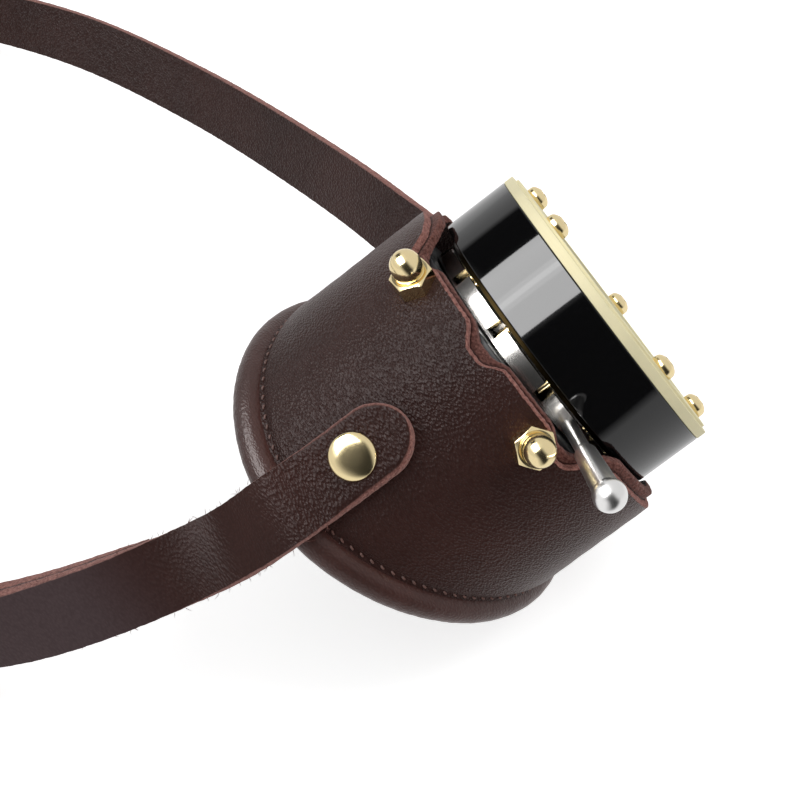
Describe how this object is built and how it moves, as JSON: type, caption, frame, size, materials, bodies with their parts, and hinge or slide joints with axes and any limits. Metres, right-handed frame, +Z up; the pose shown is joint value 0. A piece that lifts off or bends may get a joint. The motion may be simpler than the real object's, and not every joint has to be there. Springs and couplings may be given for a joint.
{
  "type": "steampunk monocle",
  "caption": "Leather eye cup with a padded rim, a lever-worked iris in a black drum behind a round window, and a buckled leather head strap.",
  "frame": {"origin": "on the table, under the middle of the object's box", "axes": "+Z up; +X to the right in the picture, towards the drum; +Y away from the camera, towards the far strap. The drum's axis points to +X, raised by about 33 degrees"},
  "size_m": [0.2446, 0.2364, 0.0707],
  "materials": {
    "leather": "dark brown dyed leather, fine grain, semi-matt",
    "lining": "brown leather lining with raw tan edges",
    "strap": "dark brown strap leather, fine grain",
    "brass": "polished brass",
    "pale_brass": "pale satin brass",
    "nickel": "nickel plate",
    "chrome": "bright chrome",
    "gloss_black": "gloss black enamel",
    "black": "satin black",
    "blade": "dark blued steel leaf",
    "glass": "clear glass",
    "rubber": "matt black seal"
  },
  "bodies": {
    "cup_and_strap": {"cup_outer": "leather", "cup_lining": "lining", "rim_piping": "leather", "buckle_strap": "strap", "long_strap": "strap", "strap_keeper": "strap", "mounting_ring": "black", "drum": "gloss_black", "bearing_washer": "brass", "pivot_plate": "brass", "lens": "glass", "lens_gasket": "rubber", "front_ring": "pale_brass", "near_rivet": "brass", "far_rivet": "brass", "fold_rivet": "brass", "buckle_frame": "brass", "cup_bolt_1": "brass", "cup_bolt_2": "brass", "cup_bolt_3": "brass", "cup_bolt_4": "brass", "acorn_nut_1": "brass", "acorn_nut_2": "brass", "acorn_nut_3": "brass", "acorn_nut_4": "brass", "front_screw_1": "brass", "front_screw_2": "brass", "front_screw_3": "brass", "front_screw_4": "brass", "front_screw_5": "brass", "post_screw_1": "black", "post_screw_2": "black", "post_screw_3": "black", "post_screw_4": "black"},
    "iris_ring": {"slotted_ring": "nickel", "iris_lever": "chrome"},
    "iris_blade_01": {"iris_blade_01": "blade"},
    "iris_blade_02": {"iris_blade_02": "blade"},
    "iris_blade_03": {"iris_blade_03": "blade"},
    "iris_blade_04": {"iris_blade_04": "blade"},
    "iris_blade_05": {"iris_blade_05": "blade"},
    "iris_blade_06": {"iris_blade_06": "blade"},
    "iris_blade_07": {"iris_blade_07": "blade"},
    "iris_blade_08": {"iris_blade_08": "blade"},
    "iris_blade_09": {"iris_blade_09": "blade"},
    "iris_blade_10": {"iris_blade_10": "blade"},
    "iris_blade_11": {"iris_blade_11": "blade"},
    "iris_blade_12": {"iris_blade_12": "blade"},
    "prong": {"buckle_prong": "brass"}
  },
  "joints": [
    {"name": "iris_lever", "type": "hinge", "parent": "cup_and_strap", "child": "iris_ring", "pos_m": [0.09127, -0.06983, 0.03809], "axis": [-0.7896, -0.2937, -0.5388], "range_deg": [0, 70]},
    {"name": "blade_01", "type": "hinge", "parent": "cup_and_strap", "child": "iris_blade_01", "pos_m": [0.10638, -0.05637, 0.02642], "axis": [-0.7896, -0.2937, -0.5388], "range_deg": [0, 35]},
    {"name": "blade_02", "type": "hinge", "parent": "cup_and_strap", "child": "iris_blade_02", "pos_m": [0.10003, -0.04912, 0.03177], "axis": [-0.7896, -0.2937, -0.5388], "range_deg": [0, 35]},
    {"name": "blade_03", "type": "hinge", "parent": "cup_and_strap", "child": "iris_blade_03", "pos_m": [0.09337, -0.04666, 0.0402], "axis": [-0.7896, -0.2937, -0.5388], "range_deg": [0, 35]},
    {"name": "blade_04", "type": "hinge", "parent": "cup_and_strap", "child": "iris_blade_04", "pos_m": [0.08817, -0.04966, 0.04945], "axis": [-0.7896, -0.2937, -0.5388], "range_deg": [0, 35]},
    {"name": "blade_05", "type": "hinge", "parent": "cup_and_strap", "child": "iris_blade_05", "pos_m": [0.08584, -0.05731, 0.05704], "axis": [-0.7896, -0.2937, -0.5388], "range_deg": [0, 35]},
    {"name": "blade_06", "type": "hinge", "parent": "cup_and_strap", "child": "iris_blade_06", "pos_m": [0.08699, -0.06756, 0.06094], "axis": [-0.7896, -0.2937, -0.5388], "range_deg": [0, 35]},
    {"name": "blade_07", "type": "hinge", "parent": "cup_and_strap", "child": "iris_blade_07", "pos_m": [0.09132, -0.07766, 0.0601], "axis": [-0.7896, -0.2937, -0.5388], "range_deg": [0, 35]},
    {"name": "blade_08", "type": "hinge", "parent": "cup_and_strap", "child": "iris_blade_08", "pos_m": [0.09767, -0.08491, 0.05475], "axis": [-0.7896, -0.2937, -0.5388], "range_deg": [0, 35]},
    {"name": "blade_09", "type": "hinge", "parent": "cup_and_strap", "child": "iris_blade_09", "pos_m": [0.10434, -0.08737, 0.04631], "axis": [-0.7896, -0.2937, -0.5388], "range_deg": [0, 35]},
    {"name": "blade_10", "type": "hinge", "parent": "cup_and_strap", "child": "iris_blade_10", "pos_m": [0.10954, -0.08437, 0.03706], "axis": [-0.7896, -0.2937, -0.5388], "range_deg": [0, 35]},
    {"name": "blade_11", "type": "hinge", "parent": "cup_and_strap", "child": "iris_blade_11", "pos_m": [0.11187, -0.07672, 0.02947], "axis": [-0.7896, -0.2937, -0.5388], "range_deg": [0, 35]},
    {"name": "blade_12", "type": "hinge", "parent": "cup_and_strap", "child": "iris_blade_12", "pos_m": [0.11072, -0.06647, 0.02558], "axis": [-0.7896, -0.2937, -0.5388], "range_deg": [0, 35]},
    {"name": "buckle_prong", "type": "hinge", "parent": "cup_and_strap", "child": "prong", "pos_m": [-0.04627, -0.10397, 0.01049], "axis": [0, 0, 1], "range_deg": [0, 30]}
  ],
  "couplings": [
    {"joint": "blade_01", "follows": "iris_lever", "ratio": 0.5},
    {"joint": "blade_02", "follows": "iris_lever", "ratio": 0.5},
    {"joint": "blade_03", "follows": "iris_lever", "ratio": 0.5},
    {"joint": "blade_04", "follows": "iris_lever", "ratio": 0.5},
    {"joint": "blade_05", "follows": "iris_lever", "ratio": 0.5},
    {"joint": "blade_06", "follows": "iris_lever", "ratio": 0.5},
    {"joint": "blade_07", "follows": "iris_lever", "ratio": 0.5},
    {"joint": "blade_08", "follows": "iris_lever", "ratio": 0.5},
    {"joint": "blade_09", "follows": "iris_lever", "ratio": 0.5},
    {"joint": "blade_10", "follows": "iris_lever", "ratio": 0.5},
    {"joint": "blade_11", "follows": "iris_lever", "ratio": 0.5},
    {"joint": "blade_12", "follows": "iris_lever", "ratio": 0.5}
  ]
}
